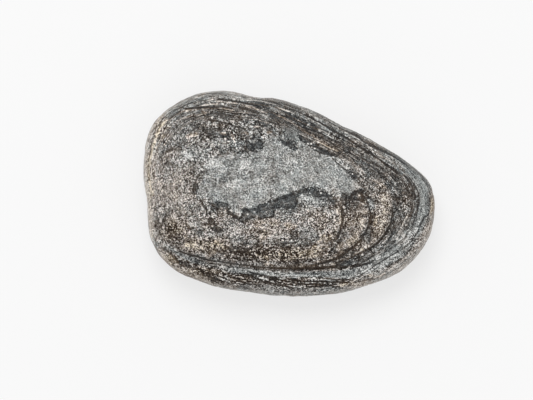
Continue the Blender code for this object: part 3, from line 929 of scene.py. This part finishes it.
def ledges(at):
    """Heights of the growth ledges, strongest on the narrow end's lower side."""
    growth, along = at["growth"], at["along"]
    towards = np.cos(np.radians(at["side"]) - LEDGE_SIDE)
    strength = LEDGE_LEAST + (1 - LEDGE_LEAST) * (0.5 + 0.5 * towards)
    upper = sum(sawtooth(along - line, height, LEDGE_REACH) for line, height in LEDGES)
    upper *= strength * at["rate"] * smooth_step(EDGE, EDGE - LEDGE_FADES[0], growth)
    lines = [lower_growth(math.radians(lean)) for lean in LOWER_LEDGE_LEANS]
    lower = sum(sawtooth(along - line, LOWER_LEDGE_HEIGHT, LOWER_LEDGE_REACH) for line in lines)
    lower *= smooth_step(EDGE, EDGE + LEDGE_FADES[1], growth)
    return np.where(at["on_top"], upper, lower)


def laminae(at):
    """Heights of the fine laminae between the ledges, each of its own strength."""
    points, growth = at["points"], at["growth"]
    phase = (growth + LAMINA_WANDER * (at["along"] - growth)) / LAMINA_PERIOD
    step = np.floor(phase)
    each = CORNERS[step.astype(np.int64) * LAMINA_PRIME % CORNER_COUNT]
    spread = np.stack([growth, points[:, 0], points[:, 1]], axis=1) / LAMINA_PATCH
    where = np.clip(patchy(spread, *LAMINA_PATCHINESS), 0, 1)
    where *= LAMINA_LEAST + (1 - LAMINA_LEAST) * smooth_step(*LAMINA_GROWTH, growth)
    return LAMINA_HEIGHT * (0.5 - phase + step) * (LAMINA_MEAN + each) * where * at["rate"]


def relief(at, marks):
    """How far each point moves out, and how deep the grit's hollows are there, for the painted shade in
    them.
    """
    points, growth = at["points"], at["growth"]
    below = GROOVE_LEAST + (1 - GROOVE_LEAST) * window(at["side"], *GROOVE_SIDE)
    groove = -GROOVE_DEPTH * below * bell(growth, GROOVE_GROWTH, GROOVE_WIDTH)
    pits = smooth_step(*PIT_EDGE, layers(points, PIT_NOISE))
    pits *= smooth_step(*PITTED_EDGE, layers(points, PITTED_NOISE))
    gritty = layers(points, GRIT) - PIT_DEPTH * pits
    on_patch = smooth_step(-PATCH_SOFT, PATCH_SOFT, marks["patch"])
    worn = (1 - PATCH_WEAR * on_patch) * (1 - FILM_WEAR * marks["film"]) * (1 - FILM_WEAR * marks["rim"])
    sunk = np.maximum(*(
        marks[name + "_strength"] * smooth_step(-MARK_SOFT, MARK_SOFT, marks[name])
        for name in ("crust", "ink")
    ))
    marked = PATCH_HEIGHT * on_patch - MARK_DEPTH * sunk
    lift = ledges(at) + laminae(at) + groove + layers(points, LUMPS) + gritty * worn + marked
    return lift, -HOLLOW_SHADE_GAIN * gritty


def tones(at):
    """Broad changes of lightness and warmth, painted light and shade among them, and of how calm the
    grain is.
    """
    points = at["points"]
    x, y = points[:, 0], points[:, 1]
    top = at["on_top"].astype(float)
    under = 1 - top
    # The steep outer band is made lighter: painted light, standing in for the light that falls on it.
    tone = layers(points, TONE_NOISE) + RIM_PAINTED_LIGHT * window(at["growth"], *RIM_PAINTED_LIGHT_GROWTH)
    tone += under * (UNDER_TONE + layers(points, UNDER_TONE_NOISE))
    warmth = np.zeros(len(points))
    for *area, change, warm in BROAD_TONES:
        near = nearness(x, y, *area) * top
        tone += change * near
        warmth = np.maximum(warmth, warm * near)
    warmth += under * (UNDER_WARMTH + layers(points, UNDER_WARMTH_NOISE))
    calm = under * np.clip(UNDER_CALM + layers(points, UNDER_CALM_NOISE), 0, 1)
    for *area, share in CALM_AREAS:
        calm = np.maximum(calm, share * nearness(x, y, *area) * top)
    return {"tone": tone, "warmth": warmth, "calm": calm}


def lamination(at):
    """Where and how strongly the stone is drawn out in laminae."""
    growth, side = at["growth"], at["side"]
    # Laminae show most near the edge, and over all of the upper side, where they crowd.
    crowded = window(side, *CROWDED_SIDE)
    start, less, fade = STREAK_START
    start = start - less * crowded
    streak = LEAST_STREAK + (1 - LEAST_STREAK) * smooth_step(start, start + fade, growth)
    start, less, less_at_end, fade = LAMINATED_START
    start = start - less * crowded - less_at_end * window(side, *NARROW_END_SIDE)
    laminated = window(side, *LAMINATED_SIDE) * smooth_step(start, start + fade, growth)
    # Under the shelf the laminae run out to the edge at a slant, pale and dark by turns.
    below = smooth_step(*BANDED_GROWTH, growth) * at["on_top"]
    banded = window(side, *BANDED_SIDE) * below * smooth_step(*BANDED_END, growth)
    slanted = at["along"] + at["fall"] - SLANT * window(side, *SLANT_SIDE) * below
    return {
        "along": slanted, "rate": at["rate"], "streak": streak, "laminated": laminated, "banded": banded,
    }


def build_shell():
    rings = make_rings()
    at = gather(rings)
    marks = marks_at(at)
    lift, hollow = relief(at, marks)
    facts = {**marks, **lamination(at), **tones(at), "hollow": hollow}
    moved = at["points"] + at["normals"] * (lift - INSET)[:, None]
    # The rest face stays flat, with only shallow hollows.
    rest = at["growth"] >= EDGE + LOWER_ARC - TINY
    moved[rest, 2] = np.maximum(0, -REST_HOLLOW * lift[rest] - REST_LIFT)
    lowest, highest = (np.array(corner) / MM for corner in cad_box)
    moved = np.clip(moved, lowest, highest)

    ends = np.cumsum([len(ring[0]) for ring in rings])
    numbers = np.split(np.arange(ends[-1]), ends[:-1])
    faces = []
    for low, high in zip(numbers, numbers[1:]):
        faces += join(low, high)
    # The two poles close the surface.
    for ring in (numbers[0], numbers[-1]):
        pole = len(moved)
        moved = np.concatenate([moved, [[0.0, 0.0, moved[ring, 2].mean()]]])
        for name, values in facts.items():
            facts[name] = np.append(values, values[ring].mean())
        faces += [(*pair, pole) for pair in zip(ring, np.roll(ring, -1))]
    mesh = bpy.data.meshes.new("fossil_surface")
    mesh.from_pydata((moved * MM).tolist(), [], [tuple(map(int, face)) for face in faces])
    for name, values in facts.items():
        mesh.attributes.new(name, "FLOAT", "POINT").data.foreach_set("value", values.astype(np.float32))
    mesh.validate()
    face_out(mesh)
    mesh.shade_smooth()
    return show("fossil_surface", mesh)


def face_out(mesh):
    work = bmesh.new()
    work.from_mesh(mesh)
    bmesh.ops.recalc_face_normals(work, faces=work.faces)
    work.to_mesh(mesh)
    work.free()


# ---------------------------------------------------------------- the stone

# Grains of the stone: order in which the place's axes are taken, size in mm, detail, roughness.
GRAINS = {
    "fine": ("xyz", 0.33, 1.0, 0.6), "second": ("yzx", 0.6, 1.0, 0.5), "mottle": ("xyz", 1.5, 2.5, 0.6),
    "clouds": ("xyz", 6.0, 2.0, 0.5), "crowd": ("yxz", 3.6, 1.5, 0.5), "flecks": ("yzx", 0.62, 1.0, 0.6),
    "pits": ("zxy", 0.72, 1.5, 0.6), "spangle": ("yxz", 0.5, 1.0, 0.6),
    "chroma": ("zyx", 0.8, 1.5, 0.6), "broad_chroma": ("xzy", 4.0, 1.5, 0.5),
}
CELLS = {"big": ("xyz", 1.1), "small": ("zyx", 0.55), "crystal": ("xyz", 0.95)}
BAND_PERIOD = 0.62  # mm of growth


def linear(level):
    """Linear light of one 0 to 255 screen level."""
    v = level / 255
    return v / 12.92 if v <= 0.04045 else ((v + 0.055) / 1.055) ** 2.4


class Value:
    """What a shader node gives, which adds and multiplies as a number does."""

    def __init__(self, nodes, socket):
        self.nodes = nodes
        self.socket = socket

    def __add__(self, other):
        return self.nodes.math("ADD", self, other)

    def __sub__(self, other):
        return self.nodes.math("SUBTRACT", self, other)

    def __mul__(self, other):
        return self.nodes.math("MULTIPLY", self, other)

    def __rsub__(self, other):
        return self.nodes.math("SUBTRACT", other, self)

    __radd__ = __add__
    __rmul__ = __mul__


class Nodes:
    """Makes and links the shader nodes of one material."""

    def __init__(self, name):
        self.material = bpy.data.materials.new(name)
        self.material.use_nodes = True
        self.tree = self.material.node_tree
        self.shader = self.tree.nodes["Principled BSDF"]
        place = self.make("TexCoord").outputs["Object"]
        self.axes = dict(zip("xyz", self.make("SeparateXYZ", {0: Value(self, place)}).outputs))

    def make(self, kind, inputs=(), **settings):
        node = self.tree.nodes.new("ShaderNode" + kind)
        for name, setting in settings.items():
            setattr(node, name, setting)
        for key, value in dict(inputs).items():
            self.put(node.inputs[key], value)
        return node

    def put(self, socket, value):
        if isinstance(value, Value):
            self.tree.links.new(value.socket, socket)
        else:
            socket.default_value = value

    def value(self, output, kind, inputs=(), **settings):
        return Value(self, self.make(kind, inputs, **settings).outputs[output])

    def math(self, operation, *values):
        return self.value(0, "Math", enumerate(values), operation=operation)

    def fit(self, value, low, high, to_low=0.0, to_high=1.0, kind="LINEAR"):
        inputs = enumerate((value, low, high, to_low, to_high))
        return self.value(0, "MapRange", inputs, interpolation_type=kind)

    def mix(self, share, a, b):
        return self.value("Result", "Mix", {"Factor": share, "A": a, "B": b}, data_type="FLOAT")

    def mix_colour(self, share, a, b):
        return self.value(2, "Mix", {"Factor": share, 6: a, 7: b}, data_type="RGBA")

    def attributes(self, names):
        return [self.value("Fac", "Attribute", attribute_name=name) for name in names.split()]

    def vector(self, *parts):
        return self.value(0, "CombineXYZ", enumerate(parts))

    def swapped(self, order):
        """The place, with its axes in this order."""
        return self.vector(*(Value(self, self.axes[axis]) for axis in order))

    def drawn_out(self, along, run):
        """A place that moves fast across the growth lines, and slowly along them."""
        return self.vector(along, *(run * Value(self, self.axes[axis]) for axis in "xy"))

    def noise(self, vector, scale, detail=1.0, roughness=0.5):
        """Noise about 0, from about -0.5 to 0.5."""
        inputs = {"Vector": vector, "Scale": scale, "Detail": detail, "Roughness": roughness}
        return self.value("Fac", "TexNoise", inputs) - 0.5

    def grain(self, name):
        order, size, detail, roughness = GRAINS[name]
        return self.noise(self.swapped(order), 1 / (size * MM), detail, roughness)

    def cells(self, name):
        """Cells of the stone: a random value for each, from 0 to 1, and the distance to its middle."""
        order, size = CELLS[name]
        node = self.make("TexVoronoi", {"Vector": self.swapped(order), "Scale": 1 / (size * MM)})
        random = self.value(0, "SeparateXYZ", {0: Value(self, node.outputs["Color"])})
        return random, Value(self, node.outputs["Distance"])

    def mark(self, name, ragged, reach):
        """Strength of a kind of mark, from its depth and strength at each point of the mesh."""
        depth, strength = self.attributes(name + " " + name + "_strength")
        return self.fit(depth + ragged * reach, -0.1, 0.04) * strength

    def ramp(self, level, stops):
        node = self.make("ValToRGB", {"Fac": level})
        ramp = node.color_ramp
        while len(ramp.elements) < len(stops):
            ramp.elements.new(0.5)
        for element, (at, levels) in zip(ramp.elements, stops):
            element.position = at
            element.color = (*map(linear, levels), 1)
        return Value(self, node.outputs["Color"])


def growth_lines(n, along, rate, seed, period, width):
    """Thin lines along the growth, each with its own breaks: 1 on a line. Sizes are in mm."""
    wobble = n.noise(n.drawn_out(along * 0.35 + seed, 120), 1.0)
    phase = along * (1 / period) + seed + wobble * 1.3
    off = n.math("ABSOLUTE", n.math("FRACT", phase) - 0.5)
    ridge = n.fit(off * period * rate, width * 0.25, width * 0.6, 1.0, 0.0)
    breaks = n.noise(n.drawn_out(n.math("FLOOR", phase) * 7.31, 60), 1.0, 1.5)
    return ridge * n.fit(breaks, -0.04, 0.08)


def banded_lines(n, along):
    """Laminae that are pale and dark by turns, from -1 to 1, broken up along their length."""
    wobble = n.noise(n.drawn_out(along * 0.4, 110), 1.0)
    phase = along * (2 * math.pi / BAND_PERIOD) + wobble * 9.0
    breaks = n.noise(n.drawn_out(along * 1.2, 220), 1.0)
    return n.math("SINE", phase) * n.fit(breaks, -0.1, 0.13, 0.1, 1.5)


def stone_material():
    n = Nodes("fossil_stone")
    along, rate, patch, film, rim, streak = n.attributes("along rate patch film rim streak")
    cream, shade, tone, warmth, hollow = n.attributes("cream shade tone warmth hollow")
    laminated, banded, calm = n.attributes("laminated banded calm")
    fine, second, mottle, clouds = map(n.grain, ("fine", "second", "mottle", "clouds"))
    crowd = n.fit(n.grain("crowd"), -0.16, 0.16, 0.35, 1.45)

    # Laminae: noise drawn out along the growth lines, and thin dark and pale lines.
    thin = n.noise(n.drawn_out(along, 45), 1 / 0.33, 1.5, 0.6)
    thick = n.noise(n.drawn_out(along + 50, 50), 1 / 1.1, 1.5, 0.5)
    wide_lines = growth_lines(n, along, rate, 7, 3.1, 0.36)
    inked_lines = n.math("MAXIMUM", wide_lines, 0.7 * growth_lines(n, along, rate, 23, 1.7, 0.28))
    pale_lines = growth_lines(n, along, rate, 41, 2.3, 0.24)
    drawn = streak * (1.0 + 0.35 * laminated + 0.2 * banded)
    streaks = (0.28 * thick + 0.85 * thin) * drawn + 0.36 * banded_lines(n, along) * banded
    plain = streak * (1.0 - 0.6 * film) * (0.9 + 0.5 * laminated)
    inked_lines = inked_lines * plain
    pale_lines = pale_lines * plain

    # Crystals, pale flecks and dark pits, all crowded together in some places and few in others.
    random, distance = n.cells("crystal")
    crystal = n.fit(random, 0.88, 0.9) * n.fit(distance, 0.5, 0.25, kind="SMOOTHSTEP")
    flecks = n.fit(n.grain("flecks"), 0.07, 0.14)
    pits = n.fit(n.grain("pits"), -0.06, -0.13)
    coarse = 1.0 - 0.5 * calm
    bright = 0.4 * (crystal + flecks) * crowd * coarse
    mosaic = 0.22 * (n.cells("small")[0] - 0.5) + 0.13 * (n.cells("big")[0] - 0.5)
    # In dark stone the finest grains are few and pale on an even ground.
    sparse = 0.55 * n.fit(n.grain("spangle"), 0.07, 0.15) + 1.2 * fine - 0.14
    finest = n.mix(n.fit(tone, 0.02, -0.1), fine * (2.1 + 0.5 * calm), sparse) + 1.5 * second * banded
    grit = (0.85 + warmth) * (0.65 + 0.35 * crowd) * (1.0 - 0.3 * laminated - 0.1 * banded)
    salt = ((0.5 * second + mosaic) * (1.0 - 0.4 * calm) + finest) * grit

    edge_noise = 0.8 * fine + 1.2 * mottle
    crust = n.mark("crust", edge_noise, 0.3)
    crust_depth, ink_and_shadow_strength = n.attributes("crust ink_strength")
    # The weaker a dark line is, the more broken it is.
    whole = n.fit(0.9 * ink_and_shadow_strength + second - 0.65, -0.2, 0.05, 0.25, 1.05)
    ink = n.mark("ink", edge_noise, 0.12) * whole
    pale = n.mark("pale", edge_noise, 0.24)
    # The arcs' cream, partly painted light on the ledges' lips, is broken up.
    cream = cream * n.fit(mottle, -0.12, 0.12, 0.1, 0.8)
    tan = n.math("MAXIMUM", n.mark("tan", edge_noise, 0.3), cream)
    on_patch = n.fit(patch + edge_noise, -0.15, 0.25, kind="SMOOTHSTEP")

    # Lightness of the body, then of the film, the rim and the patch over it.
    grains = salt + bright * grit + (0.8 * mottle - 0.28 * pits) * coarse * grit
    # The grit's hollows are darkened: painted shade.
    body = BODY_LEVEL + tone + 0.14 * clouds + grains - 0.2 * shade - 0.05 * hollow + streaks
    thin_film = FILM_LEVEL + 0.7 * tone + 0.4 * (streaks + mottle) + 0.9 * salt + 0.2 * clouds
    body = n.mix(film, body, thin_film)
    smooth_rim = RIM_LEVEL + tone + 0.5 * streaks + 0.35 * mottle + 0.4 * salt
    body = n.mix(rim, body, smooth_rim) + 0.2 * (pale_lines - inked_lines) + 0.22 * tan
    smooth_patch = PATCH_LEVEL + 0.3 * mottle + 0.26 * clouds + 0.9 * salt - 0.06 * pits + 0.08 * flecks
    # The pale marks lighten the stone, and the painted highlights among them do too.
    level = n.mix(on_patch, body, smooth_patch - 0.2 * shade) + 0.32 * pale
    # The crust is near black with pale crystals left in it, and the dark lines are cleaner; both also
    # paint the shadow in the groove.
    crusty = CRUST_LEVEL + 0.3 * mottle + 0.12 * n.fit(crust_depth, 0.3, 1.0)
    crusty = crusty + 0.5 * (bright + salt) + 0.4 * crystal
    level = n.mix(n.math("MINIMUM", 1.1 * crust, 1.0), level, crusty)
    level = n.mix(n.math("MINIMUM", 1.15 * ink, 1.0), level, INK_LEVEL + 0.3 * salt)

    # From 0 to 1 the colour goes from cool to warm, and from there on to tan.
    chroma, broad_chroma = n.grain("chroma"), n.grain("broad_chroma")
    lined = 0.8 * thick * streak + 0.35 * crystal + 0.5 * pale_lines
    warm = 0.28 + warmth + 1.4 * chroma + broad_chroma + lined
    warm = warm * (1.0 - 0.95 * film) + 0.3 * rim
    warm = n.mix(on_patch, warm, 0.24 + 0.8 * broad_chroma + 0.9 * chroma) + 0.95 * tan - 0.2 * crust
    warmed = n.fit(warm, 0.0, 1.0)
    colour = n.mix_colour(warmed, n.ramp(level, COOL), n.ramp(level, WARM))
    colour = n.mix_colour(n.fit(warm, 1.05, 1.95), colour, n.ramp(level, TAN))
    n.put(n.shader.inputs["Base Color"], colour)
    n.put(n.shader.inputs["Roughness"], n.fit(level, 0.2, 0.8, 0.72, 0.56))
    n.put(n.shader.inputs["Specular IOR Level"], 0.18)

    height = (0.8 * (streaks + mottle) + 0.2 * fine - 0.35 * inked_lines) * (1.0 - 0.5 * on_patch)
    bump = {"Strength": 0.45, "Distance": 0.35 * MM, "Height": height + 0.12 * crystal}
    n.put(n.shader.inputs["Normal"], n.value("Normal", "Bump", bump))
    return n.material


# ---------------------------------------------------------------- floor, light and camera

FLOOR_SIZE = 4.0
FLOOR_DROP = 0.02
FLOOR_LEVEL = 0.3
FLOOR_ROUGHNESS = 0.9
FLOOR_GLOW = 0.635  # the floor is a light table: part of its light comes from below
LAMP_PLACE = (-0.15, 0.75, 1.5)
LAMP_SIZE = 0.9
LAMP_POWER = 12
SKY_STRENGTH = 0.7
VIEW_DISTANCE = 2.0
SENSOR = 36.0


def show(name, data):
    """A new object in the scene."""
    thing = bpy.data.objects.new(name, data)
    bpy.context.scene.collection.objects.link(thing)
    return thing


def floor_material():
    material = bpy.data.materials.new("pale_floor")
    material.use_nodes = True
    settings = {
        "Base Color": (FLOOR_LEVEL, FLOOR_LEVEL, FLOOR_LEVEL, 1), "Roughness": FLOOR_ROUGHNESS,
        "Specular IOR Level": 0.0, "Emission Color": (1, 1, 1, 1), "Emission Strength": FLOOR_GLOW,
    }
    for name, value in settings.items():
        material.node_tree.nodes["Principled BSDF"].inputs[name].default_value = value
    return material


def add_floor():
    half = FLOOR_SIZE / 2
    mesh = bpy.data.meshes.new("floor")
    corners = [(-half, -half, 0), (half, -half, 0), (half, half, 0), (-half, half, 0)]
    mesh.from_pydata(corners, [], [(0, 1, 2, 3)])
    mesh.materials.append(floor_material())
    floor = show("floor", mesh)
    floor.location.z = -FLOOR_DROP * MM


def add_key_light():
    data = bpy.data.lights.new("key", "AREA")
    data.shape = "DISK"
    data.size = LAMP_SIZE
    data.energy = LAMP_POWER
    lamp = show("key", data)
    lamp.location = LAMP_PLACE
    lamp.rotation_euler = (-Vector(LAMP_PLACE)).to_track_quat("-Z", "Y").to_euler()


def add_world():
    world = bpy.data.worlds.new("studio")
    world.use_nodes = True
    background = world.node_tree.nodes["Background"]
    background.inputs["Color"].default_value = (1, 1, 1, 1)
    background.inputs["Strength"].default_value = SKY_STRENGTH
    bpy.context.scene.world = world


def add_camera():
    """Looks straight down on the middle of the photograph's frame, at its scale at the widest line."""
    width, height = PHOTO_SIZE
    ((x, y),) = from_photo([(width / 2, height / 2)])
    data = bpy.data.cameras.new("camera")
    data.sensor_width = SENSOR
    data.lens = SENSOR * VIEW_DISTANCE / (width * PHOTO_SCALE * MM)
    camera = show("camera", data)
    camera.location = (x * MM, y * MM, VIEW_DISTANCE + WIDEST_LINE_HEIGHT * MM)
    bpy.context.scene.camera = camera


piece = build_shell()
piece.data.materials.append(stone_material())
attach(piece, "root")
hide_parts("fossil_shell")

add_floor()
add_key_light()
add_world()
add_camera()
bpy.context.scene.view_settings.view_transform = "Standard"
